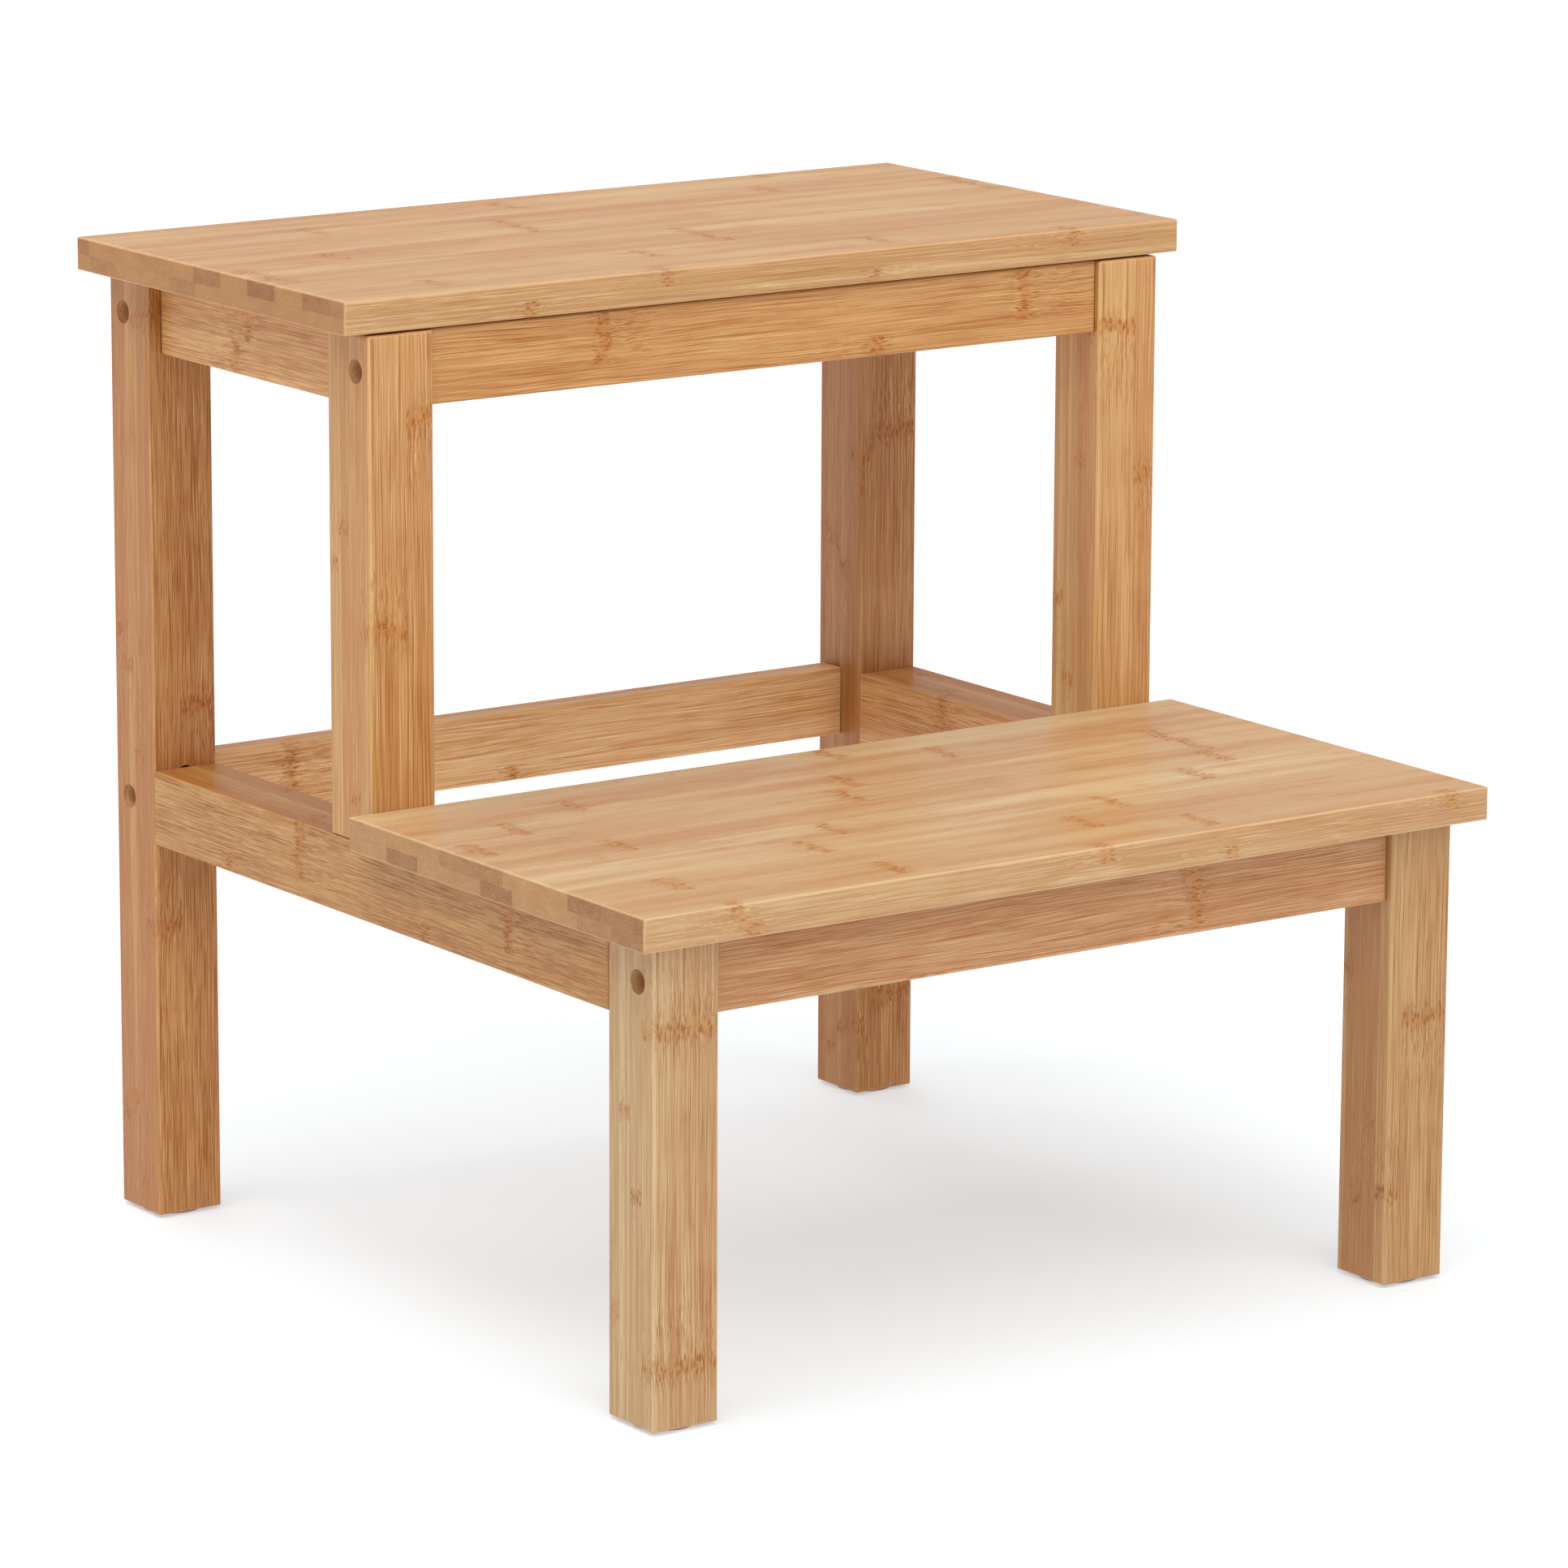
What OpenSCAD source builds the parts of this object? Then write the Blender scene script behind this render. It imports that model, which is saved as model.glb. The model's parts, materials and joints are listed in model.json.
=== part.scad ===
// Two-step stool in glued laminated bamboo.
//
// Two side frames (rear leg, middle leg, front leg, side rail and side apron) are dowelled
// and glued. Four cross members join them with bolts and barrel nuts, and the two treads
// are screwed on from below.
//
// Millimetres. +X is the stool's right as you face it, +Y is its back and +Z is up.
// The origin is on the floor, under the middle of the overall width and depth.

/* [Treads] */
// Width of both treads, side to side
tread_width = 400; // [380:5:440]
// Depth of each tread, front to back
tread_depth = 203.5; // [195:0.5:225]
// Thickness of a tread panel
tread_thickness = 13.5; // [13:0.5:18]
// Height of the lower tread's top face above the floor
lower_step_height = 201; // [190:1:230]
// Height of the upper tread's top face above the floor
upper_step_height = 401; // [380:1:440]
// Overhang of both treads past the legs, at each side
side_overhang = 10.5; // [6:0.5:16]
// Overhang of the lower tread in front of the front legs
front_overhang = 9.5; // [4:0.5:14]
// Overhang of the upper tread behind the rear legs
rear_overhang = 7.5; // [4:0.5:14]
// Shadow gap between the upper tread and the legs under it
tread_gap = 0.7; // [0.4:0.1:1.5]

/* [Frame] */
// Width of a leg, side to side
leg_width = 29.5; // [28:0.5:34]
// Depth of a leg, front to back
leg_depth = 30; // [29:0.5:34]
// Height of the side rails and side aprons
side_member_height = 30.5; // [29:0.5:34]
// Height of the aprons and the rail that run across the stool
cross_member_height = 29.5; // [28:0.5:33]
// Thickness of the aprons and the rear rail
board_thickness = 13; // [13:0.5:14]
// Inset of a side apron's outer face from the leg's outer face
side_apron_inset = 6; // [3:0.5:10]
// Setback of the upper front apron from the middle legs' front face
upper_apron_setback = 2.8; // [2:0.1:5]
// Setback of the lower front apron from the front legs' front face
lower_apron_setback = 3.7; // [2:0.1:5]
// Setback of the rear apron and rear rail from the rear legs' back face
rear_member_setback = 4.1; // [2:0.1:5]
// Height of the rear rail's top above the side rails' top
rear_rail_rise = 0.8; // [0:0.1:3]

/* [Rounded edges] */
// Radius along the edges of the treads
tread_edge_radius = 1.2; // [0.5:0.1:3]
// Radius along the edges of the legs
leg_edge_radius = 1.5; // [0.5:0.1:3]
// Radius along the edges of the aprons and rails
member_edge_radius = 1; // [0.5:0.1:2]

/* [Bolted joints] */
// Diameter of the counterbore that hides a bolt head
counterbore_diameter = 9.5; // [9.2:0.1:11]
// Depth of the counterbore from the leg's outer face
counterbore_depth = 14; // [12:0.5:16]
// Diameter of a bolt's head
bolt_head_diameter = 9; // [8.5:0.1:9]
// Height of a bolt's head
bolt_head_height = 6; // [5:0.5:6]
// Diameter of a bolt's shank
bolt_diameter = 6; // [5:0.5:6]
// Length of a bolt under its head
bolt_length = 50; // [46:1:54]
// Diameter of a barrel nut
nut_diameter = 10; // [9:0.5:10]
// Length of a barrel nut
nut_length = 10; // [9:0.5:10]
// Distance from a cross member's end to the middle of its barrel nut
nut_distance = 27; // [24:1:30]

/* [Dowels and screws] */
// Diameter of the thin dowels, in the 13 mm boards
thin_dowel_diameter = 6; // [5:0.5:6]
// Diameter of the thick dowels, in the side rails and middle legs
thick_dowel_diameter = 8; // [6:0.5:8]
// Length of a dowel
dowel_length = 27; // [24:1:30]
// Depth to which a dowel enters a leg, or a rail under a leg
dowel_in_leg = 12; // [10:0.5:12]
// Diameter of a tread screw's head
screw_head_diameter = 8; // [7:0.5:8]
// Diameter of a tread screw's shank
screw_diameter = 4; // [3.5:0.5:4]
// Length of a tread screw under its head
screw_length = 25; // [22:1:25]

/* [Foot glides] */
// Diameter of a glide
glide_diameter = 24; // [18:1:26]
// Thickness of a glide
glide_thickness = 1.2; // [1:0.1:3]

/* [Hidden] */
$fn = 48;

// Side signs: the left side frame lies towards -X and the right one towards +X
LEFT = -1;
RIGHT = 1;

// Radial room round a bolt, a screw, a glued dowel and a barrel nut
bolt_clearance = 0.25;
screw_clearance = 0.3;
dowel_clearance = 0.05;
nut_clearance = 0.05;
// Extra length that takes a cut cleanly through a face
cut = 1;

// Heights of the main levels
lower_seat_z = lower_step_height - tread_thickness;
upper_seat_z = upper_step_height - tread_thickness;
leg_top_z = upper_seat_z - tread_gap;
side_rail_z = lower_seat_z - side_member_height;
side_apron_z = upper_seat_z - side_member_height;
upper_cross_z = leg_top_z - cross_member_height;
lower_cross_z = lower_seat_z - tread_gap - cross_member_height;
rear_rail_z = lower_seat_z + rear_rail_rise - cross_member_height;

// Places across the stool, on the right side frame
leg_outer_x = tread_width / 2 - side_overhang;
leg_inner_x = leg_outer_x - leg_width;
leg_mid_x = leg_outer_x - leg_width / 2;
side_apron_x = leg_outer_x - side_apron_inset - board_thickness;
side_apron_mid_x = side_apron_x + board_thickness / 2;

// Places along the depth. The plane Y = 0 holds the upper tread's front edge, the lower
// tread's back edge and the middle legs' front face.
front_leg_y = front_overhang - tread_depth;
front_leg_back_y = front_leg_y + leg_depth;
middle_leg_y = 0;
middle_leg_back_y = middle_leg_y + leg_depth;
rear_leg_y = tread_depth - rear_overhang - leg_depth;
rear_member_y = rear_leg_y + leg_depth - rear_member_setback - board_thickness;
side_rail_length = rear_leg_y - front_leg_back_y;
side_apron_length = rear_leg_y - middle_leg_back_y;

// Cross members: [front face Y, underside Z, face that takes the barrel nuts], where the
// face is 1 for the back and -1 for the front
UPPER_FRONT = [middle_leg_y + upper_apron_setback, upper_cross_z, 1];
LOWER_FRONT = [front_leg_y + lower_apron_setback, lower_cross_z, 1];
UPPER_REAR = [rear_member_y, upper_cross_z, -1];
LOWER_REAR = [rear_member_y, rear_rail_z, 1];
CROSS_MEMBERS = [UPPER_FRONT, LOWER_FRONT, UPPER_REAR, LOWER_REAR];

// Dowel pairs: offset of each dowel from the middle of its joint
cross_dowel_offset = [0, 0, 9.5];
rail_dowel_offset = [8.5, 0, 0];
apron_dowel_offset = [0, 0, 9.5];
post_dowel_offset = [0, 7, 0];
thin_hole_radius = thin_dowel_diameter / 2 + dowel_clearance;
thick_hole_radius = thick_dowel_diameter / 2 + dowel_clearance;
// Glue room past a dowel's end, and the depths of its two holes
dowel_end_room = 0.5;
dowel_in_member = dowel_length - dowel_in_leg;
leg_hole_depth = dowel_in_leg + dowel_end_room;
member_hole_depth = dowel_in_member + dowel_end_room;

// Bolted joints: the head's seat, the hole in a cross member's end grain, and small detail
bolt_seat_x = leg_outer_x - counterbore_depth;
bolt_end_room = 2.5;
bolt_hole_depth = bolt_length - (leg_width - counterbore_depth) + bolt_end_room;
hex_key_size = 5;
hex_key_depth = 3.5;
nut_slot_width = 1.2;
nut_slot_depth = 1;

// Tread screws: seat above a member's underside, head, recess, and places along the depth
screw_seat = 14.5;
screw_head_height = 2.5;
screw_recess_length = 4.4;
screw_recess_width = 1.2;
pilot_end_room = 0.5;
pilot_depth = screw_length - (side_member_height - screw_seat) + pilot_end_room;
upper_screw_inset = 28;
lower_screw_inset = 34;
upper_screw_ys = [middle_leg_back_y + upper_screw_inset, rear_leg_y - upper_screw_inset];
lower_screw_ys = [front_leg_back_y + lower_screw_inset, middle_leg_y - lower_screw_inset];

// The left rear leg has one spare dowel hole, whose upper rim shows above the side rail
spare_hole_rim = 0.6;
spare_hole_z = lower_seat_z + spare_hole_rim - thick_dowel_diameter / 2;

bamboo = [0.80, 0.61, 0.40];
bamboo_light = [0.84, 0.67, 0.46];
zinc = [0.72, 0.73, 0.74];
dowel_wood = [0.86, 0.74, 0.54];
felt = [0.36, 0.26, 0.20];

// Rectangle w by h with rounded corners, from the origin
module rounded_rectangle(w, h, r) {
    translate([r, 0])
        square([w - 2 * r, h]);
    translate([0, r])
        square([w, h - 2 * r]);
    for (x = [r, w - r], y = [r, h - r])
        translate([x, y])
            circle(r);
}

// Block with every edge rounded: the common part of three rounded prisms
module rounded_block(size, r) {
    intersection() {
        linear_extrude(size.z)
            rounded_rectangle(size.x, size.y, r);
        translate([0, size.y, 0])
            rotate([90, 0, 0])
                linear_extrude(size.y)
                    rounded_rectangle(size.x, size.z, r);
        rotate([90, 0, 90])
            linear_extrude(size.x)
                rounded_rectangle(size.y, size.z, r);
    }
}

// Cylinder that runs along +X from a point
module x_rod(point, r, length) {
    translate(point)
        rotate([0, 90, 0])
            cylinder(r = r, h = length);
}

// Cylinder that runs along +Y from a point
module y_rod(point, r, length) {
    translate(point)
        rotate([-90, 0, 0])
            cylinder(r = r, h = length);
}

// Cylinder that runs along +Z from a point
module z_rod(point, r, length) {
    translate(point)
        cylinder(r = r, h = length);
}

// Shape drawn for the right side, mirrored for the left
module on_side(side) {
    mirror([side == LEFT ? 1 : 0, 0, 0])
        children();
}

// Two copies of a shape, moved by an offset either way
module pair(offset) {
    for (sign = [-1, 1])
        translate(sign * offset)
            children();
}

// Middle of a cross member's section, as [Y, Z]
function member_axis(member) = [
    member[0] + board_thickness / 2,
    member[1] + cross_member_height / 2
];

// Middles of the two dowelled joints of a side frame's members, as [X, Z]
rail_axis = [leg_mid_x, side_rail_z + side_member_height / 2];
apron_axis = [side_apron_mid_x, side_apron_z + side_member_height / 2];

// Holes for a cross member in the right leg: counterbore, bolt hole and two dowel holes
module leg_joint_holes(member) {
    axis = member_axis(member);
    x_rod([bolt_seat_x, axis[0], axis[1]], counterbore_diameter / 2, counterbore_depth + cut);
    x_rod([leg_inner_x - cut, axis[0], axis[1]], bolt_diameter / 2 + bolt_clearance,
        leg_width - counterbore_depth + 2 * cut);
    pair(cross_dowel_offset)
        x_rod([leg_inner_x - cut, axis[0], axis[1]], thin_hole_radius, leg_hole_depth + cut);
}

// Holes in a cross member's right end: bolt hole, barrel nut hole and two dowel holes
module member_end_holes(member) {
    axis = member_axis(member);
    x_rod([leg_inner_x - bolt_hole_depth, axis[0], axis[1]], bolt_diameter / 2 + bolt_clearance,
        bolt_hole_depth + cut);
    at_nut(member)
        z_rod([0, 0, -nut_length / 2], nut_diameter / 2 + nut_clearance, board_thickness);
    pair(cross_dowel_offset)
        x_rod([leg_inner_x - member_hole_depth, axis[0], axis[1]], thin_hole_radius,
            member_hole_depth + cut);
}

// Frame of a barrel nut: origin at its middle, +Z out of the face that it goes in by
module at_nut(member) {
    axis = member_axis(member);
    translate([leg_inner_x - nut_distance, axis[0], axis[1]])
        rotate([-90 * member[2], 0, 0])
            children();
}

// Board across the stool between the two side frames
module cross_member(member) {
    color(bamboo)
        difference() {
            translate([-leg_inner_x, member[0], member[1]])
                rounded_block([2 * leg_inner_x, board_thickness, cross_member_height],
                    member_edge_radius);
            for (side = [LEFT, RIGHT])
                on_side(side)
                    member_end_holes(member);
        }
}

// Holes for the side rail's two dowels, side by side, from one depth to another
module rail_dowel_holes(from_y, to_y) {
    pair(rail_dowel_offset)
        y_rod([rail_axis[0], from_y, rail_axis[1]], thick_hole_radius, to_y - from_y);
}

// Holes for the side apron's two dowels, one above the other, from one depth to another
module apron_dowel_holes(from_y, to_y) {
    pair(apron_dowel_offset)
        y_rod([apron_axis[0], from_y, apron_axis[1]], thin_hole_radius, to_y - from_y);
}

// Holes for the two upright dowels under a middle leg, from one height to another
module post_dowel_holes(from_z, to_z) {
    pair(post_dowel_offset)
        z_rod([leg_mid_x, middle_leg_y + leg_depth / 2, from_z], thick_hole_radius, to_z - from_z);
}

// Right leg before its holes are drilled
module leg_blank(y, bottom_z, top_z) {
    translate([leg_inner_x, y, bottom_z])
        rounded_block([leg_width, leg_depth, top_z - bottom_z], leg_edge_radius);
}

// Tall rear leg, from its glide to just under the upper tread
module rear_leg(side) {
    color(bamboo)
        on_side(side)
            difference() {
                leg_blank(rear_leg_y, glide_thickness, leg_top_z);
                leg_joint_holes(UPPER_REAR);
                leg_joint_holes(LOWER_REAR);
                rail_dowel_holes(rear_leg_y - cut, rear_leg_y + leg_hole_depth);
                apron_dowel_holes(rear_leg_y - cut, rear_leg_y + leg_hole_depth);
                if (side == LEFT)
                    y_rod([leg_mid_x, rear_leg_y - cut, spare_hole_z], thick_dowel_diameter / 2,
                        leg_hole_depth + cut);
            }
}

// Middle leg, which stands on the side rail behind the lower tread
module middle_leg(side) {
    color(bamboo)
        on_side(side)
            difference() {
                leg_blank(middle_leg_y, lower_seat_z, leg_top_z);
                leg_joint_holes(UPPER_FRONT);
                apron_dowel_holes(middle_leg_back_y - leg_hole_depth, middle_leg_back_y + cut);
                post_dowel_holes(lower_seat_z - cut, lower_seat_z + member_hole_depth);
            }
}

// Short front leg, from its glide to the lower tread
module front_leg(side) {
    color(bamboo)
        on_side(side)
            difference() {
                leg_blank(front_leg_y, glide_thickness, lower_seat_z);
                leg_joint_holes(LOWER_FRONT);
                rail_dowel_holes(front_leg_back_y - leg_hole_depth, front_leg_back_y + cut);
            }
}

// Passage for a tread screw through a side member: counterbore from below, then clearance
module screw_passage(x, y, bottom_z) {
    z_rod([x, y, bottom_z - cut], screw_head_diameter / 2 + screw_clearance, screw_seat + cut);
    z_rod([x, y, bottom_z], screw_diameter / 2 + screw_clearance, side_member_height + cut);
}

// Side rail from the rear leg to the front leg, as wide as the legs
module side_rail(side) {
    color(bamboo)
        on_side(side)
            difference() {
                translate([leg_inner_x, front_leg_back_y, side_rail_z])
                    rounded_block([leg_width, side_rail_length, side_member_height],
                        member_edge_radius);
                rail_dowel_holes(rear_leg_y - member_hole_depth, rear_leg_y + cut);
                rail_dowel_holes(front_leg_back_y - cut, front_leg_back_y + member_hole_depth);
                post_dowel_holes(lower_seat_z - leg_hole_depth, lower_seat_z + cut);
                for (y = lower_screw_ys)
                    screw_passage(leg_mid_x, y, side_rail_z);
            }
}

// Side apron from the rear leg to the middle leg, which carries the upper tread
module upper_side_apron(side) {
    color(bamboo)
        on_side(side)
            difference() {
                translate([side_apron_x, middle_leg_back_y, side_apron_z])
                    rounded_block([board_thickness, side_apron_length, side_member_height],
                        member_edge_radius);
                apron_dowel_holes(rear_leg_y - member_hole_depth, rear_leg_y + cut);
                apron_dowel_holes(middle_leg_back_y - cut, middle_leg_back_y + member_hole_depth);
                for (y = upper_screw_ys)
                    screw_passage(side_apron_mid_x, y, side_apron_z);
            }
}

// Tread panel with blind pilot holes for its screws
module tread(front_y, bottom_z, screw_x, screw_ys) {
    color(bamboo_light)
        difference() {
            translate([-tread_width / 2, front_y, bottom_z])
                rounded_block([tread_width, tread_depth, tread_thickness], tread_edge_radius);
            for (side = [LEFT, RIGHT], y = screw_ys)
                z_rod([side * screw_x, y, bottom_z - cut], screw_diameter / 2 + dowel_clearance,
                    pilot_depth + cut);
        }
}

module upper_tread() {
    tread(middle_leg_y, upper_seat_z, side_apron_mid_x, upper_screw_ys);
}

module lower_tread() {
    tread(middle_leg_y - tread_depth, lower_seat_z, leg_mid_x, lower_screw_ys);
}

// Bolt with a hexagon socket head, from its seat in the leg into a cross member
module frame_bolt(member) {
    axis = member_axis(member);
    difference() {
        union() {
            x_rod([bolt_seat_x, axis[0], axis[1]], bolt_head_diameter / 2, bolt_head_height);
            x_rod([bolt_seat_x - bolt_length, axis[0], axis[1]], bolt_diameter / 2,
                bolt_length + cut);
        }
        translate([bolt_seat_x + bolt_head_height - hex_key_depth, axis[0], axis[1]])
            rotate([0, 90, 0])
                cylinder(d = hex_key_size / cos(30), h = hex_key_depth + cut, $fn = 6);
    }
}

// Barrel nut with a cross hole for the bolt and a screwdriver slot in its outer end
module barrel_nut(member) {
    at_nut(member)
        difference() {
            z_rod([0, 0, -nut_length / 2], nut_diameter / 2, nut_length);
            x_rod([-nut_diameter, 0, 0], bolt_diameter / 2 + nut_clearance, 2 * nut_diameter);
            translate([-nut_diameter, -nut_slot_width / 2, nut_length / 2 - nut_slot_depth])
                cube([2 * nut_diameter, nut_slot_width, nut_slot_depth + cut]);
        }
}

module frame_bolts(side) {
    color(zinc)
        on_side(side)
            for (member = CROSS_MEMBERS)
                frame_bolt(member);
}

module barrel_nuts(side) {
    color(zinc)
        on_side(side)
            for (member = CROSS_MEMBERS)
                barrel_nut(member);
}

// Two thin dowels at each joint between a leg and a cross member
module cross_dowels(side) {
    color(dowel_wood)
        on_side(side)
            for (member = CROSS_MEMBERS, axis = [member_axis(member)])
                pair(cross_dowel_offset)
                    x_rod([leg_inner_x - dowel_in_member, axis[0], axis[1]],
                        thin_dowel_diameter / 2, dowel_length);
}

// Dowels along the depth inside one side frame: thick in the side rail, thin in the apron
module side_frame_dowels(side) {
    color(dowel_wood)
        on_side(side) {
            for (y = [rear_leg_y - dowel_in_member, front_leg_back_y - dowel_in_leg])
                pair(rail_dowel_offset)
                    y_rod([rail_axis[0], y, rail_axis[1]], thick_dowel_diameter / 2, dowel_length);
            for (y = [rear_leg_y - dowel_in_member, middle_leg_back_y - dowel_in_leg])
                pair(apron_dowel_offset)
                    y_rod([apron_axis[0], y, apron_axis[1]], thin_dowel_diameter / 2, dowel_length);
        }
}

// Upright dowels that hold the two middle legs on the side rails
module middle_leg_dowels() {
    color(dowel_wood)
        for (side = [LEFT, RIGHT])
            pair(post_dowel_offset)
                z_rod([side * leg_mid_x, middle_leg_y + leg_depth / 2, lower_seat_z - dowel_in_leg],
                    thick_dowel_diameter / 2, dowel_length);
}

// Pan-head screw that points up, with the underside of its head at height zero
module tread_screw() {
    difference() {
        union() {
            z_rod([0, 0, -screw_head_height], screw_head_diameter / 2, screw_head_height);
            z_rod([0, 0, -cut], screw_diameter / 2, screw_length + cut);
        }
        for (angle = [0, 90])
            rotate(angle)
                translate([-screw_recess_length / 2, -screw_recess_width / 2,
                    -screw_head_height - cut])
                    cube([screw_recess_length, screw_recess_width, 2 * cut]);
    }
}

module tread_screws(screw_x, screw_ys, member_z) {
    color(zinc)
        for (side = [LEFT, RIGHT], y = screw_ys)
            translate([side * screw_x, y, member_z + screw_seat])
                tread_screw();
}

module upper_tread_screws() {
    tread_screws(side_apron_mid_x, upper_screw_ys, side_apron_z);
}

module lower_tread_screws() {
    tread_screws(leg_mid_x, lower_screw_ys, side_rail_z);
}

// Round glide under a leg
module foot_glide(side, leg_y) {
    color(felt)
        translate([side * leg_mid_x, leg_y + leg_depth / 2, 0])
            cylinder(d = glide_diameter, h = glide_thickness);
}

upper_tread();
lower_tread();
rear_leg(LEFT);  // rear_leg_left
rear_leg(RIGHT);  // rear_leg_right
middle_leg(LEFT);  // middle_leg_left
middle_leg(RIGHT);  // middle_leg_right
front_leg(LEFT);  // front_leg_left
front_leg(RIGHT);  // front_leg_right
side_rail(LEFT);  // side_rail_left
side_rail(RIGHT);  // side_rail_right
upper_side_apron(LEFT);  // upper_side_apron_left
upper_side_apron(RIGHT);  // upper_side_apron_right
cross_member(UPPER_FRONT);  // upper_front_apron
cross_member(UPPER_REAR);  // upper_rear_apron
cross_member(LOWER_REAR);  // rear_rail
cross_member(LOWER_FRONT);  // lower_front_apron
frame_bolts(LEFT);  // frame_bolts_left
frame_bolts(RIGHT);  // frame_bolts_right
barrel_nuts(LEFT);  // barrel_nuts_left
barrel_nuts(RIGHT);  // barrel_nuts_right
cross_dowels(LEFT);  // cross_dowels_left
cross_dowels(RIGHT);  // cross_dowels_right
side_frame_dowels(LEFT);  // side_frame_dowels_left
side_frame_dowels(RIGHT);  // side_frame_dowels_right
middle_leg_dowels();
upper_tread_screws();
lower_tread_screws();
foot_glide(LEFT, front_leg_y);  // foot_glide_front_left
foot_glide(RIGHT, front_leg_y);  // foot_glide_front_right
foot_glide(LEFT, rear_leg_y);  // foot_glide_rear_left
foot_glide(RIGHT, rear_leg_y);  // foot_glide_rear_right
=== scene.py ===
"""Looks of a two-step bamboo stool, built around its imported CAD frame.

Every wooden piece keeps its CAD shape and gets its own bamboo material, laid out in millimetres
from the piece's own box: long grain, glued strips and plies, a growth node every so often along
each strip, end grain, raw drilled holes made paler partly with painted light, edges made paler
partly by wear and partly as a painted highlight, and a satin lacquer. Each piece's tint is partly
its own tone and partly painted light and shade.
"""
import json
import math
from dataclasses import dataclass
import bpy
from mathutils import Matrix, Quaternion, Vector


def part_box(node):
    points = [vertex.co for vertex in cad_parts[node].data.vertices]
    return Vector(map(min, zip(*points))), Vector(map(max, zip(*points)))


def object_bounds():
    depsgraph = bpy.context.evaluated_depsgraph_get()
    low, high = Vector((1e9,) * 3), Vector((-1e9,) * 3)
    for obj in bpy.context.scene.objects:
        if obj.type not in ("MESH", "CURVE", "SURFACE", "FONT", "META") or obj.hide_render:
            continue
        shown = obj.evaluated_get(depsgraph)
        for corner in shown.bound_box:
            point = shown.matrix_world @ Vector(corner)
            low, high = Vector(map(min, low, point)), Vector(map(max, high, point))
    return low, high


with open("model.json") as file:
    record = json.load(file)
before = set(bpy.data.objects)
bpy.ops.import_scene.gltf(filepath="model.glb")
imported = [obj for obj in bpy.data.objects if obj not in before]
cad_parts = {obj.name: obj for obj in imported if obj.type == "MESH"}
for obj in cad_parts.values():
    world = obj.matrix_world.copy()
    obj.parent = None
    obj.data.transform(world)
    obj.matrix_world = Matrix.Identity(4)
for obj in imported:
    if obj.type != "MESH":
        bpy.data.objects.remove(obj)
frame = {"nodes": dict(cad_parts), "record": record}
cad_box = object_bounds()

X, Y, Z = 0, 1, 2
MM = 1000.0  # millimetres in a metre


# ---------------------------------------------------------------- shader graphs


def srgb(red, green, blue):
    """A colour given as display values from 0 to 255, as linear RGBA."""
    channels = [c / 255 for c in (red, green, blue)]
    linear = [c / 12.92 if c <= 0.04045 else ((c + 0.055) / 1.055) ** 2.4 for c in channels]
    return (*linear, 1.0)


class Wire:
    """One output of a shader graph. Arithmetic on it adds Math nodes."""

    def __init__(self, graph, socket):
        self.graph = graph
        self.socket = socket

    def __add__(self, other):
        return self.graph.math("ADD", self, other)

    def __radd__(self, other):
        return self.graph.math("ADD", other, self)

    def __sub__(self, other):
        return self.graph.math("SUBTRACT", self, other)

    def __rsub__(self, other):
        return self.graph.math("SUBTRACT", other, self)

    def __mul__(self, other):
        return self.graph.math("MULTIPLY", self, other)

    def __rmul__(self, other):
        return self.graph.math("MULTIPLY", other, self)

    def __truediv__(self, other):
        return self.graph.math("DIVIDE", self, other)

    def __abs__(self):
        return self.graph.math("ABSOLUTE", self, 0.0)


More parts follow.
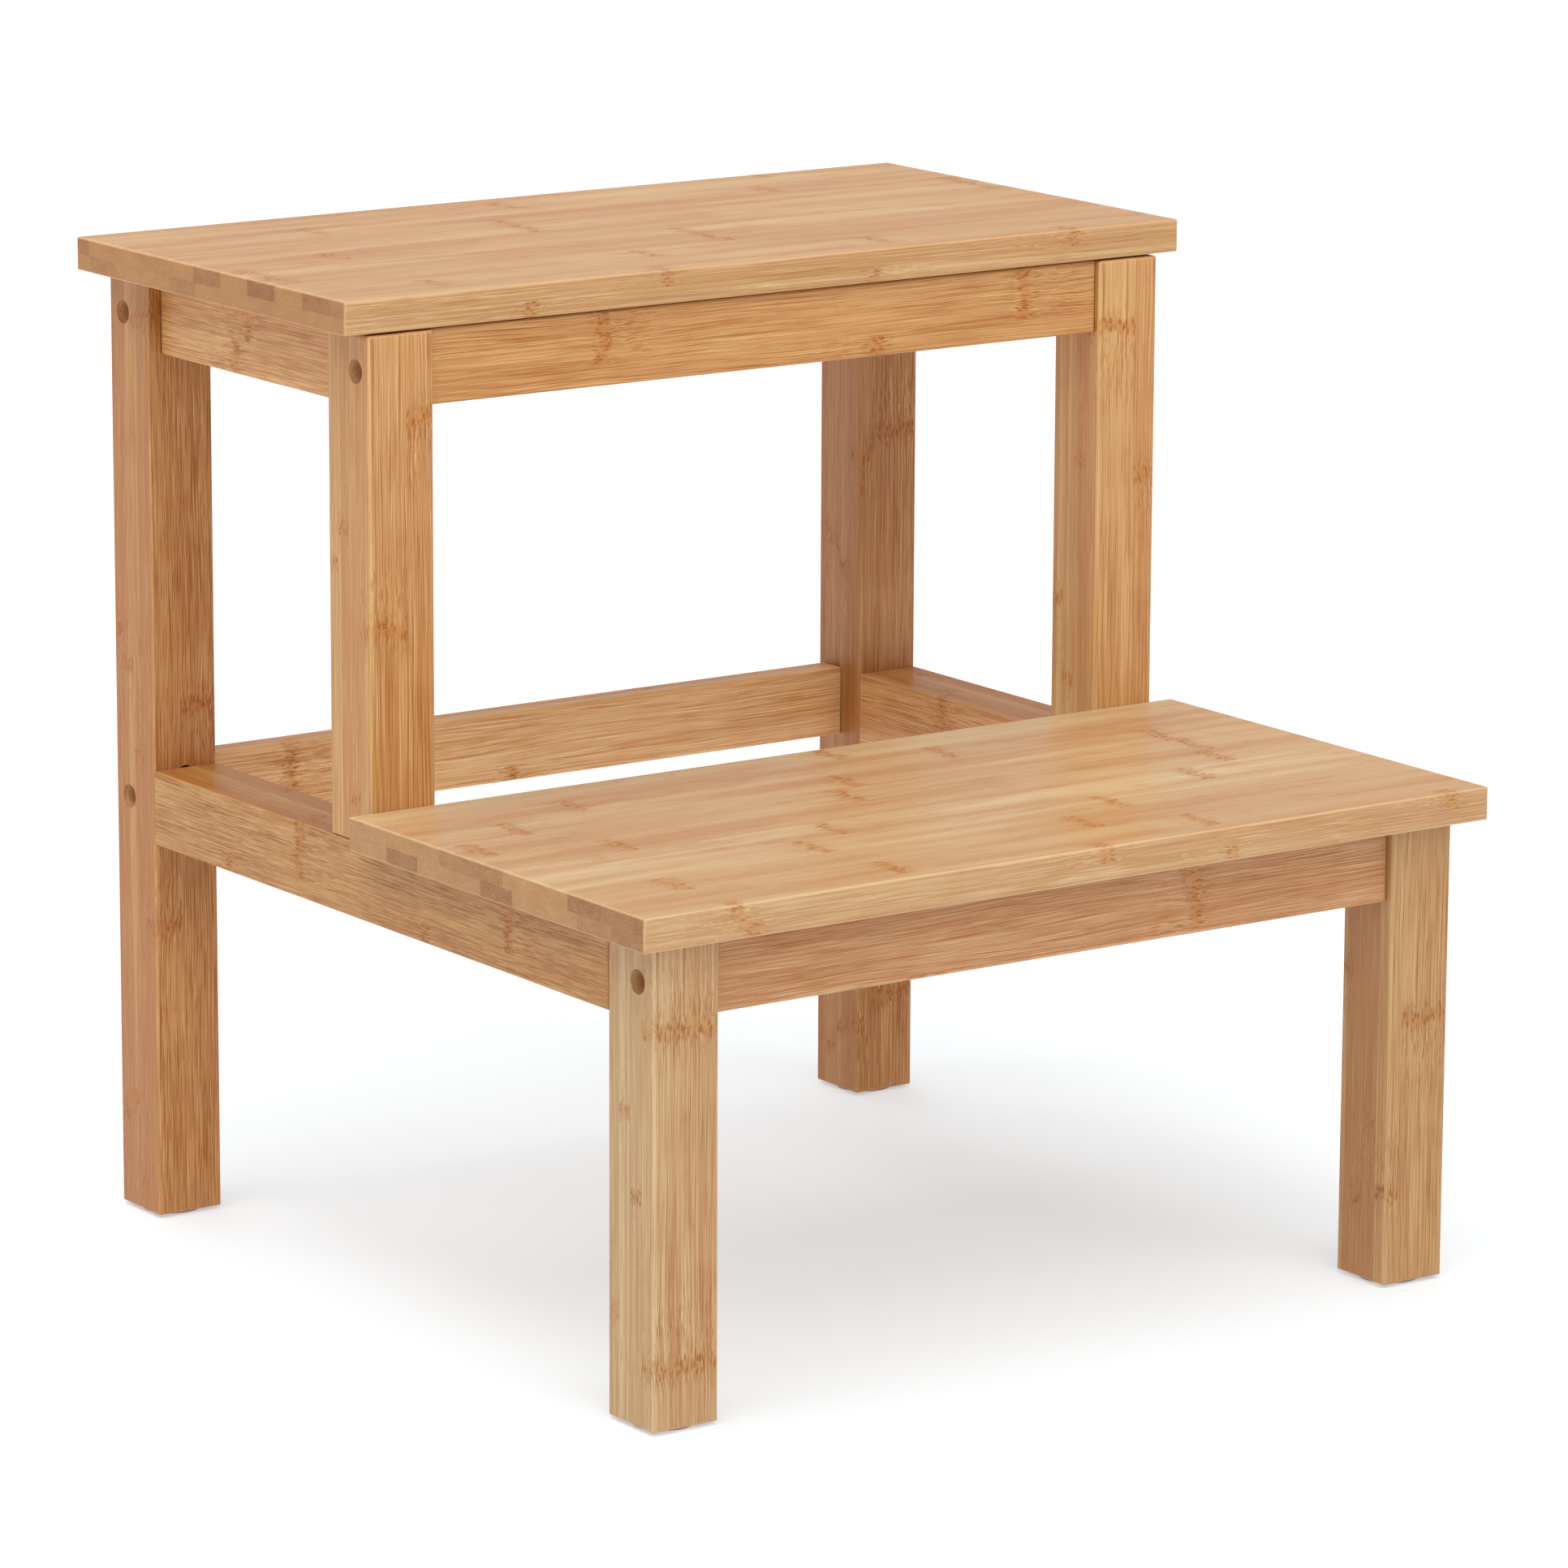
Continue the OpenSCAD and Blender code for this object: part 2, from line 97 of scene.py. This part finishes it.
class Graph:
    """The node tree of a material or world, with one short method for each kind of node."""

    def __init__(self, owner):
        owner.use_nodes = True
        self.owner = owner
        self.tree = owner.node_tree
        self.tree.nodes.clear()

    def add(self, kind, inputs=None, **settings):
        node = self.tree.nodes.new(kind)
        for key, value in settings.items():
            setattr(node, key, value)
        for key, value in (inputs or {}).items():
            self.put(node.inputs[key], value)
        return node

    def put(self, socket, value):
        if isinstance(value, Wire):
            self.tree.links.new(value.socket, socket)
        else:
            socket.default_value = value

    def math(self, operation, a, b, c=None):
        inputs = {0: a, 1: b} if c is None else {0: a, 1: b, 2: c}
        return Wire(self, self.add("ShaderNodeMath", inputs, operation=operation).outputs[0])

    def smallest(self, a, b):
        return self.math("MINIMUM", a, b)

    def largest(self, a, b):
        return self.math("MAXIMUM", a, b)

    def floor(self, a):
        return self.math("FLOOR", a, 0.0)

    def rise(self, value, low, high):
        """0 below low, 1 above high, and smooth between."""
        node = self.add("ShaderNodeMapRange", {0: value, 1: low, 2: high},
                        interpolation_type="SMOOTHSTEP")
        return Wire(self, node.outputs[0])

    def fall(self, value, low, high):
        """1 below low, 0 above high, and smooth between."""
        return 1.0 - self.rise(value, low, high)

    def vector(self, x, y, z):
        return Wire(self, self.add("ShaderNodeCombineXYZ", {0: x, 1: y, 2: z}).outputs[0])

    def split(self, vector):
        node = self.add("ShaderNodeSeparateXYZ", {0: vector})
        return [Wire(self, socket) for socket in node.outputs]

    def coordinates(self, kind):
        """x, y and z of a texture coordinate, such as Object or Normal."""
        return self.split(Wire(self, self.add("ShaderNodeTexCoord").outputs[kind]))

    def noise(self, x, y, z, detail=2.0, roughness=0.5):
        """Cloudy noise around 0.5, which changes about once where x, y or z grows by 1."""
        inputs = {"Vector": self.vector(x, y, z), "Scale": 1.0, "Detail": detail,
                  "Roughness": roughness}
        return Wire(self, self.add("ShaderNodeTexNoise", inputs).outputs[0])

    def waver(self, x, y, z, width):
        """Noise that swings to either side of 0, over about the given width."""
        return (self.noise(x, y, z) - 0.5) * width

    def spindles(self, x, y, z):
        """Distance from the middle of the nearest of many scattered points."""
        inputs = {"Vector": self.vector(x, y, z), "Scale": 1.0}
        return Wire(self, self.add("ShaderNodeTexVoronoi", inputs).outputs[0])

    def chance(self, x, y, z):
        """Three numbers from 0 to 1, drawn again wherever x, y or z changes."""
        node = self.add("ShaderNodeTexWhiteNoise", {"Vector": self.vector(x, y, z)})
        return self.split(Wire(self, node.outputs["Color"]))

    def table(self, index, values, most):
        """values[index] for a whole-numbered index. No value is above most."""
        node = self.add("ShaderNodeValToRGB", {0: (index + 0.5) / len(values)})
        ramp = node.color_ramp
        ramp.interpolation = "CONSTANT"
        ramp.elements.remove(ramp.elements[1])
        for i, value in enumerate(values):
            stop = ramp.elements.new(i / len(values)) if i else ramp.elements[0]
            stop.color = (value / most,) * 3 + (1.0,)
        return Wire(self, node.outputs[0]) * most

    def mix(self, amount, a, b):
        node = self.add("ShaderNodeMix", {0: amount, 6: a, 7: b}, data_type="RGBA")
        return Wire(self, node.outputs[2])

    def blend(self, amount, a, b):
        """Like mix, for numbers."""
        return a + (b - a) * amount

    def bump(self, height, depth):
        """A bumpy normal, where a height of 1 stands for depth metres."""
        node = self.add("ShaderNodeBump", {"Height": height, "Distance": depth, "Strength": 1.0})
        return Wire(self, node.outputs[0])

    def surface(self, **inputs):
        """The material's shader. Underscores stand for the spaces of a socket's name."""
        shader = self.add("ShaderNodeBsdfPrincipled",
                          {key.replace("_", " "): value for key, value in inputs.items()})
        output = self.add("ShaderNodeOutputMaterial")
        self.tree.links.new(shader.outputs[0], output.inputs["Surface"])
        return self.owner


# ---------------------------------------------------------------- bamboo

PALE = srgb(230, 192, 152)
STRAW = srgb(214, 175, 128)
TAN = srgb(196, 148, 98)
ROSE = srgb(188, 128, 82)
FIBRE = srgb(162, 98, 42)
AMBER = srgb(198, 134, 72)
NODE_BROWN = srgb(156, 90, 38)
NODE_SPOT = srgb(104, 54, 22)
END_LIGHT = srgb(184, 126, 76)
END_DARK = srgb(140, 80, 38)
# Raw drilled wood, paler partly as painted light inside the holes.
RAW_WALL_AND_PAINTED_LIGHT = srgb(222, 170, 122)
# Pale worn wood, also painted along the edges as a highlight.
PALE_WEAR_AND_HIGHLIGHT = srgb(222, 184, 142)

GRAIN_DEPTH = 0.00006  # metres that a relief of 1 stands for
ONCE = 400  # node spacing of a strip with a single growth node, as no piece is longer than this


@dataclass
class Bamboo:
    """How one piece is cut from bamboo strips. Lengths are in millimetres."""

    grain: int  # axis along the fibres
    across: int  # axis across the strips' width
    depth: int  # axis through the plies
    ply: float  # thickness of a ply
    first_strip: float  # width of the first strip on the face side
    strip: float  # width of the other strips
    growth: list  # for each strip, its first growth node from the low end and the node spacing
    seed: int
    tint: tuple  # how red, green and blue the piece is against 1 for plain bamboo, partly its own tone and partly painted light and shade
    length: float = 1.0  # how long the fibres are
    contrast: float = 1.0  # how strongly fibres show on the strips' wide faces
    side_contrast: float = 0.6  # how strongly fibres show on the strips' thin edges
    patches: float = 0.55  # how strong the broad streaks are
    patch_width: float = 1.0  # how wide the broad streaks are
    halo: float = 0.5  # how amber the bamboo is around a growth node
    side_warmth: float = 0.25  # how reddish the thin edges are
    halves: float = 0.7  # how much redder some plies are than others, on the thin edges
    from_top: bool = False  # whether the plies are counted from the high side of the box

    def tone(self, colour, most=2.0):
        """The colour on this piece, with no channel of the tint above most."""
        return (*(min(c * min(t, most), 1.0) for c, t in zip(colour, self.tint)), 1.0)


class BambooGraph(Graph):
    """The material of one CAD piece, cut as a Bamboo recipe says.

    u, v and w are millimetres along the fibres, across the strips and through the plies, in the
    piece's own box. Most other values say how strongly something shows at a point, from 0 to 1.
    """

    def __init__(self, node, cut):
        super().__init__(bpy.data.materials.new("bamboo_" + node))
        self.cut = cut
        self.seed = float(cut.seed)
        low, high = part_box(node)
        place = [(at - low[axis]) * MM for axis, at in enumerate(self.coordinates("Object"))]
        size = [(high[axis] - low[axis]) * MM for axis in (X, Y, Z)]
        self.inset = [self.smallest(place[axis], size[axis] - place[axis]) for axis in (X, Y, Z)]
        self.u = place[cut.grain]
        self.v = place[cut.across]
        self.w = size[cut.depth] - place[cut.depth] if cut.from_top else place[cut.depth]
        self.find_facing()
        self.lay_strips()
        self.grow_nodes()
        self.draw_fibres()
        self.find_wear()

    def streaky(self, v, along, across, shift=0.0, detail=2.0, roughness=0.5):
        """Noise that changes at one rate per millimetre along the grain and another across it."""
        return self.noise(self.u * along, v * across, self.w * across + shift, detail, roughness)

    def flecks(self, v, length, width):
        """Distance from the nearest of many flecks of that length and width, in millimetres."""
        return self.spindles(self.u / length, v / width, self.w / width)

    def find_facing(self):
        """Which way the surface looks: the strips' wide faces, their ends or their thin edges."""
        normal = self.coordinates("Normal")
        self.wide = self.rise(abs(normal[self.cut.depth]), 0.45, 0.8)
        self.end = self.rise(abs(normal[self.cut.grain]), 0.5, 0.8)
        self.thin = 1.0 - self.wide

    def lay_strips(self):
        """Plies through the depth, strips across each ply with staggered seams, and the glue.

        Each strip draws its own shade, its warmth, the start of its growth nodes where no recipe
        says it, and the way that their figure leans.
        """
        strip_width, ply = self.cut.strip, self.cut.ply
        layer = self.floor(self.w / ply)
        self.inner = self.smallest(layer, 1.0)
        stagger = self.chance(layer, self.seed, 3.0)[0]
        v_strip = self.v - self.cut.first_strip + self.inner * stagger * strip_width
        self.strip = self.floor(v_strip / strip_width) + 1.0
        self.shade, self.warmth, self.start = self.chance(self.strip, layer, self.seed)
        self.flip = self.chance(layer, self.seed, self.strip)[0]
        strip_edge = abs(self.math("WRAP", v_strip, strip_width / 2, -strip_width / 2))
        ply_edge = abs(self.math("WRAP", self.w, ply / 2, -ply / 2))
        self.glue = self.largest(self.fall(strip_edge, 0.05, 0.3) * (1.0 - self.inner * 0.5),
                                 self.fall(ply_edge, 0.05, 0.3) * self.rise(self.w, 1.5, 2.5))

    def grow_nodes(self):
        """Growth nodes, where the recipe says on the face side and by chance on inner plies.

        A node's line is ragged, and its figure reaches further along the strip on one side.
        """
        firsts = [first for first, spacing in self.cut.growth]
        spacings = [spacing for first, spacing in self.cut.growth]
        first = self.blend(self.inner, self.table(self.strip, firsts, ONCE), self.start * 230.0)
        spacing = self.blend(self.inner, self.table(self.strip, spacings, ONCE),
                             150.0 + self.shade * 90.0)
        offset = self.math("WRAP", self.u - first, spacing * 0.5, spacing * -0.5)
        offset = offset + self.waver(self.v * 1.1, self.w * 1.1, self.seed + 5.0, 7.0)
        offset = offset + self.waver(self.v * 0.1, self.w * 0.1, self.seed, 10.0)
        away = abs(offset)
        lean = self.math("SIGN", self.flip - 0.5, 0.0) * offset
        reach = self.largest(lean * 0.75, lean * -2.4)
        self.node_line = self.fall(away, 0.6, 2.6)
        self.node_band = self.fall(away, 1.4, 4.2)
        self.node_zone = self.fall(away, 2.5, 10.0)
        self.node_tail = self.fall(reach, 5.0, 34.0)

    def draw_fibres(self):
        """Fibres run straight, wander a little, and swirl where they pass a growth node."""
        cut, wide = self.cut, self.wide
        wander = self.waver(self.u * 0.009, self.v * 0.05, self.seed + 9.0, 4.0)
        swirl = self.waver(self.u * 0.13, self.v * 0.4, self.w * 0.4, 2.0) * self.node_tail
        wavy_v = self.v + wander + swirl
        hair = self.streaky(wavy_v, 0.008 / cut.length, 2.0, roughness=0.6)
        short_hair = self.streaky(wavy_v, 0.03 / cut.length, 2.9)
        pale_hair = self.streaky(wavy_v, 0.013 / cut.length, 2.4, shift=40.0)
        broad = self.streaky(wavy_v, 0.005, 0.3 / cut.patch_width, detail=4.0, roughness=0.6)
        density = self.rise(self.streaky(self.v, 0.012, 0.13, shift=20.0), 0.3, 0.66)
        strength = self.blend(wide, cut.side_contrast, cut.contrast)
        hairs = self.rise(hair, 0.5, 0.58) * 0.65 + self.rise(short_hair, 0.52, 0.6) * 0.5
        self.streaks = hairs * self.blend(density, 0.5, 1.0) * strength
        self.pale_streaks = self.rise(pale_hair, 0.5, 0.64) * strength
        self.broad = self.rise(broad, 0.34, 0.68)
        self.dashes = self.fall(self.flecks(wavy_v, 9.0, 0.95), 0.16, 0.46)
        self.tufts = self.fall(self.flecks(wavy_v, 4.2, 0.85), 0.2, 0.5)
        self.spots = self.fall(self.flecks(self.v, 2.0, 2.6), 0.08, 0.24) * self.node_line
        self.pores = self.fall(self.spindles(self.v / 0.62, self.w / 0.62, self.u * 0.02),
                               0.18, 0.5)
        self.figure = self.dashes * self.node_tail * self.blend(wide, 0.35, 1.0) * cut.contrast
        burn = self.node_band * (self.tufts * 0.8 + 0.12) + self.node_zone * self.tufts * 0.5
        self.burn = burn * self.blend(wide, 0.7, 1.0)

    def find_wear(self):
        """Paler edges, partly worn and partly a painted highlight, the insides of drilled holes
        and the lips around them.
        """
        x, y, z = self.inset
        nearest = self.smallest(self.smallest(x, y), z)
        middle = self.largest(self.smallest(x, y), self.smallest(self.largest(x, y), z))
        patchy = self.rise(self.streaky(self.v, 0.05, 0.3), 0.3, 0.6)
        # Where edges turn paler, partly from wear and partly as a painted highlight.
        self.edge = self.fall(middle, 0.2, 0.75) * patchy
        self.hole = self.rise(nearest, 0.35, 1.4)
        self.lip = self.rise(nearest, 0.03, 0.2) * (1.0 - self.hole)

    def ground(self):
        """Strip tone, slow mottling and pale fibres. Thin edges have bands and redder plies."""
        cut, wide, thin = self.cut, self.wide, self.thin
        bands = self.noise(self.u * 0.0015, self.w * 0.26, self.seed, 2.0, 0.8)
        half = self.noise(self.u * 0.001, self.w * 0.085, self.seed * 3.7, 1.0)
        mottle = self.rise(self.streaky(self.v, 0.014, 0.08, detail=3.0), 0.35, 0.7)
        blotch = self.rise(self.streaky(self.v, 0.06, 0.16), 0.52, 0.72)
        dark = self.shade * 0.5 + mottle * 0.3 + self.rise(bands, 0.44, 0.56) * thin
        warm = self.broad * cut.patches + blotch * 0.25 + self.warmth * 0.4
        warm = (warm * self.blend(wide, cut.side_warmth, 1.0)
                + self.rise(half, 0.47, 0.53) * cut.halves * thin)
        colour = self.mix(dark, cut.tone(STRAW), cut.tone(TAN))
        colour = self.mix(self.smallest(warm, 1.0), colour, cut.tone(ROSE))
        return self.mix(self.pale_streaks * 0.55, colour, cut.tone(PALE))

    def long_grain(self):
        """Fibres over the ground, then the growth node's amber, its brown and its spots."""
        tone = self.cut.tone
        colour = self.mix(self.smallest(self.streaks, 0.9), self.ground(), tone(FIBRE))
        colour = self.mix(self.figure * 0.65, colour, tone(FIBRE))
        colour = self.mix(self.node_band * self.cut.halo, colour, tone(AMBER, 1.15))
        colour = self.mix(self.smallest(self.burn, 0.85), colour, tone(NODE_BROWN, 1.05))
        return self.mix(self.spots * 0.75, colour, tone(NODE_SPOT, 1.05))

    def end_grain(self):
        """Each strip's end has its own tone, full of small vascular bundles."""
        cloud = self.noise(self.v * 0.12, self.w * 0.25, self.seed, 3.0)
        dark = self.rise(self.shade, 0.4, 1.0) * 0.6 + cloud * 0.7 - 0.2
        colour = self.mix(dark, self.cut.tone(END_LIGHT), self.cut.tone(END_DARK))
        return self.mix(self.pores * 0.25, colour, self.cut.tone(STRAW))

    def colour(self):
        """The grain, a hair of darker glue, paler edges that are partly worn and partly a painted
        highlight, and raw holes, paler partly as painted light, with a pale lip.
        """
        pale_wear_and_highlight = self.cut.tone(PALE_WEAR_AND_HIGHLIGHT)
        colour = self.mix(self.end, self.long_grain(), self.end_grain())
        colour = self.mix(self.glue * 0.16, colour, self.cut.tone(NODE_BROWN, 1.05))
        # Paler edges: partly worn wood and partly a painted highlight.
        colour = self.mix(self.edge * 0.25, colour, pale_wear_and_highlight)
        colour = self.mix(self.lip * 0.4 * (1.0 - self.edge), colour, pale_wear_and_highlight)
        # Hole walls: raw wood, paler partly as painted light reaching into the holes.
        return self.mix(self.hole * self.blend(self.tufts, 0.9, 0.4), colour, RAW_WALL_AND_PAINTED_LIGHT)

    def roughness(self):
        """Satin lacquer, rougher over the grain and on the ends. Raw holes have none."""
        rough = self.streaky(self.v, 0.02, 0.09, detail=3.0) * 0.16 + 0.25
        rough = rough + self.streaks * 0.06 + self.burn * 0.08 + self.end * 0.14 + self.edge * 0.05
        return self.blend(self.hole, rough, 0.8)

    def relief(self):
        """The grain telegraphs through the lacquer."""
        relief = 1.0 - self.streaks * 0.5 - self.spots * 0.7 - self.burn * 0.3 - self.glue * 0.5
        relief = relief - self.pores * self.end * 0.4 - self.hole * self.dashes * 0.8
        return relief + self.streaky(self.v, 0.03, 0.2) * 0.6

    def material(self):
        return self.surface(Base_Color=self.colour(), Roughness=self.roughness(), IOR=1.5,
                            Specular_IOR_Level=0.3, Normal=self.bump(self.relief(), GRAIN_DEPTH))


# Growth nodes of the strips that show on each tread, from the front edge backwards
UPPER_TREAD_GROWTH = [(148, 198), (53, 210), (165, ONCE), (8, 205), (8, 205), (57, ONCE),
                      (163, 228), (163, 228), (86, 222), (190, ONCE), (330, ONCE)]
LOWER_TREAD_GROWTH = [(41, 170), (123, 146), (40, 190), (118, 142), (143, 176), (59, 287),
                      (10, 171), (41, 155), (82, 177), (219, ONCE)]

# What pieces of one kind have in common
TREAD = {"grain": X, "across": Y, "depth": Z, "ply": 6.75, "from_top": True, "patches": 0.75,
         "patch_width": 4.0, "contrast": 0.28, "halves": 0.0}
CROSS_MEMBER = {"grain": X, "across": Z, "depth": Y, "ply": 6.5}
SIDE_APRON = {"grain": Y, "across": Z, "depth": X, "ply": 6.5, "strip": 21.5}
SIDE_RAIL = {"grain": Y, "across": Z, "depth": X, "ply": 7.4, "strip": 22.5}
LEG = {"grain": Z, "across": X, "depth": Y, "ply": 7.5}

# Each piece's tint is partly its own bamboo tone and partly painted light and shade, set from how
# bright the piece looks: the rear legs are darker partly as painted shade, the lower tread paler
# partly as painted light.
WOODEN_PIECES = {
    "upper_tread": Bamboo(
        **TREAD, first_strip=10.0, strip=20.4, growth=UPPER_TREAD_GROWTH, seed=1,
        tint=(1.01, 1.08, 1.07), halo=0.4, side_warmth=0.5),
    # Paler partly as painted light on its top.
    "lower_tread": Bamboo(
        **TREAD, first_strip=6.5, strip=22.0, growth=LOWER_TREAD_GROWTH, seed=2,
        tint=(1.04, 1.23, 1.36), side_contrast=0.55, side_warmth=0.9),
    "upper_front_apron": Bamboo(
        **CROSS_MEMBER, first_strip=8.5, strip=21.5, growth=[(211, ONCE), (80, 204)], seed=3,
        tint=(1.02, 0.95, 0.73), length=0.8),
    "lower_front_apron": Bamboo(
        **CROSS_MEMBER, first_strip=1.5, strip=29.0, growth=[(90, ONCE), (225, ONCE)], seed=4,
        tint=(0.97, 0.96, 0.94), length=0.6),
    "upper_rear_apron": Bamboo(
        **CROSS_MEMBER, first_strip=20.0, strip=21.5, growth=[(60, 210), (190, 220)], seed=5,
        tint=(0.96, 0.86, 0.72), length=0.7),
    "rear_rail": Bamboo(
        **CROSS_MEMBER, first_strip=7.0, strip=24.0, growth=[(150, 260), (43, ONCE)], seed=6,
        tint=(1.33, 1.42, 1.42), length=0.7),
    "upper_side_apron_left": Bamboo(
        **SIDE_APRON, first_strip=13.5, growth=[(78, 150), (68, 150)], seed=7,
        tint=(1.13, 1.02, 0.80), length=0.5),
    "upper_side_apron_right": Bamboo(
        **SIDE_APRON, first_strip=18.0, growth=[(30, 170), (100, 150)], seed=8,
        tint=(1.04, 0.96, 0.82), length=0.6),
    "side_rail_left": Bamboo(
        **SIDE_RAIL, first_strip=8.0, growth=[(127, 145), (67, 151)], seed=9,
        tint=(0.88, 0.78, 0.52), length=0.35, contrast=1.25, patches=0.35, halo=0.7),
    "side_rail_right": Bamboo(
        **SIDE_RAIL, first_strip=12.0, growth=[(40, 180), (110, 160)], seed=10,
        tint=(1.16, 1.06, 0.85), length=0.5),
    "front_leg_left": Bamboo(
        **LEG, first_strip=29.5, strip=22.0, growth=[(24, 129), (24, 129)], seed=11,
        tint=(0.95, 1.08, 1.13)),
    "front_leg_right": Bamboo(
        **LEG, first_strip=6.0, strip=23.5, growth=[(37, 190), (108, 190)], seed=12,
        tint=(0.85, 0.85, 0.75), length=0.7),
    "middle_leg_left": Bamboo(
        **LEG, first_strip=17.0, strip=22.0, growth=[(84, 185), (166, 185)], seed=13,
        tint=(1.04, 1.02, 0.84), contrast=1.2),
    "middle_leg_right": Bamboo(
        **LEG, first_strip=18.7, strip=22.0, growth=[(172, 190), (109, 190)], seed=14,
        tint=(1.05, 1.03, 0.84)),
    # Darker and redder partly as painted shade under the treads.
    "rear_leg_left": Bamboo(
        **LEG, first_strip=12.7, strip=22.0, growth=[(120, 250), (212, 250)], seed=15,
        tint=(0.88, 0.75, 0.53), length=0.45, contrast=1.4),
    # Darker and redder partly as painted shade under the treads.
    "rear_leg_right": Bamboo(
        **LEG, first_strip=6.0, strip=23.5, growth=[(30, 250), (43, 248)], seed=16,
        tint=(0.82, 0.69, 0.49), length=0.6, contrast=1.4),
}


# ---------------------------------------------------------------- fasteners and glides
# The factors on x, y and z are rates of change per metre.


def zinc_plate():
    """Bright zinc on steel, dulled in patches, with fine turning marks."""
    g = Graph(bpy.data.materials.new("zinc_plate"))
    x, y, z = g.coordinates("Object")
    cloud = g.noise(x * 350, y * 350, z * 350, 3.0)
    turning = g.noise(x * 5000, y * 60, z * 60, 2.0)
    colour = g.mix(cloud, srgb(186, 190, 196), srgb(150, 152, 154))
    rough = cloud * 0.22 + turning * 0.08 + 0.22
    return g.surface(Base_Color=colour, Metallic=1.0, Roughness=rough,
                     Normal=g.bump(turning, 0.00002))


def dowel_wood():
    """Plain beech, close and short in the grain."""
    g = Graph(bpy.data.materials.new("dowel_wood"))
    x, y, z = g.coordinates("Object")
    grain = g.noise(x * 260, y * 260, z * 260, 4.0, 0.6)
    flecks = g.fall(g.spindles(x * 500, y * 500, z * 500), 0.1, 0.35)
    colour = g.mix(grain, srgb(214, 178, 134), srgb(186, 142, 98))
    colour = g.mix(flecks * 0.4, colour, srgb(150, 104, 66))
    return g.surface(Base_Color=colour, Roughness=grain * 0.2 + 0.6,
                     Normal=g.bump(grain, 0.00005))


def glide_plastic():
    """Tan matt plastic with a fine moulded grain."""
    g = Graph(bpy.data.materials.new("glide_plastic"))
    x, y, z = g.coordinates("Object")
    grain = g.noise(x * 1600, y * 1600, z * 1600, 2.0)
    scuffs = g.rise(g.noise(x * 90, y * 700, z * 90, 3.0), 0.55, 0.7)
    colour = g.mix(scuffs * 0.5, srgb(176, 138, 108), srgb(146, 112, 88))
    return g.surface(Base_Color=colour, Roughness=grain * 0.2 + 0.5,
                     Normal=g.bump(grain, 0.00003))


def dress(node, material):
    """Gives every face of a CAD piece one material."""
    for slot in frame["nodes"][node].material_slots:
        slot.material = material


def dress_all():
    """Each wooden piece gets bamboo of its own, and the hardware what its record slot says."""
    for node, cut in WOODEN_PIECES.items():
        dress(node, BambooGraph(node, cut).material())
    hardware = {"zinc_steel": zinc_plate(), "dowel_wood": dowel_wood(), "glide": glide_plastic()}
    for part in frame["record"]["subparts"]:
        if part["material_slot"] in hardware:
            dress(part["node"], hardware[part["material_slot"]])


# ---------------------------------------------------------------- floor, light and camera

LAMP_SPREAD = 50  # degrees of sky that each lamp covers
SKY_STRENGTH = 0.25
WALL_STRENGTH = 1.05
WALL_HEIGHTS = (0.08, 0.15)  # between these the walls' brightness fades, where overhead is 1


def direction(heading, height):
    """Unit vector towards a heading and a height above the horizon, in degrees."""
    turn, lift = math.radians(heading), math.radians(height)
    return Vector((-math.sin(turn) * math.cos(lift), -math.cos(turn) * math.cos(lift),
                   math.sin(lift)))


def floor():
    """A wide, pale, matt floor under the glides, which glows a little so that it stays white."""
    bpy.ops.mesh.primitive_plane_add(size=40, location=(0, 0, cad_box[0].z))
    plane = bpy.context.object
    plane.name = "studio_floor"
    g = Graph(bpy.data.materials.new("studio_floor"))
    white = g.surface(Base_Color=(0.5, 0.515, 0.52, 1.0), Roughness=0.9,
                      Emission_Color=(0.93, 0.97, 1.0, 1.0), Emission_Strength=0.48)
    plane.data.materials.append(white)


def lamp(name, heading, height, power):
    """Soft distant light from a heading and a height above the horizon, in degrees.

    Heading 0 is the stool's front, and 90 its left. A power of 1 turns a white surface that
    faces the lamp fully white.
    """
    light = bpy.data.lights.new(name, "SUN")
    light.energy = power * math.pi
    light.angle = math.radians(LAMP_SPREAD)
    source = bpy.data.objects.new(name, light)
    source.rotation_euler = (-direction(heading, height)).to_track_quat("-Z", "Y").to_euler()
    bpy.context.scene.collection.objects.link(source)


def studio():
    """A dim white room whose walls are bright near the floor, so the floor seems to go on."""
    world = bpy.data.worlds.new("studio")
    g = Graph(world)
    wall = g.fall(g.coordinates("Generated")[Z], *WALL_HEIGHTS)
    strength = g.blend(wall, SKY_STRENGTH, WALL_STRENGTH)
    background = g.add("ShaderNodeBackground", {"Color": (1.0, 1.0, 1.0, 1.0),
                                                "Strength": strength})
    output = g.add("ShaderNodeOutputWorld")
    g.tree.links.new(background.outputs[0], output.inputs["Surface"])
    bpy.context.scene.world = world


def lights():
    """Soft lamps in front, high on the left, overhead and behind."""
    lamp("front", 5, 45, 0.4)
    lamp("high_left", 70, 60, 0.4)
    lamp("top", 0, 90, 0.3)
    lamp("back", 185, 45, 0.22)


def camera():
    """The stool from its front left, a little above, through a long lens."""
    centre = (cad_box[0] + cad_box[1]) / 2
    off_centre = Vector((0.0017, -0.0041, -0.0107))
    distance = 3.0378
    back = direction(heading=35.033, height=12.478)
    roll = math.radians(0.259)
    data = bpy.data.cameras.new("camera")
    data.sensor_width = 36
    data.lens = 174.63
    data.clip_end = 100
    view = bpy.data.objects.new("camera", data)
    view.location = centre + off_centre + back * distance
    facing = (-back).to_track_quat("-Z", "Y") @ Quaternion((0, 0, 1), roll)
    view.rotation_euler = facing.to_euler()
    bpy.context.scene.collection.objects.link(view)
    bpy.context.scene.camera = view


bpy.context.scene.view_settings.view_transform = "Standard"
dress_all()
floor()
studio()
lights()
camera()
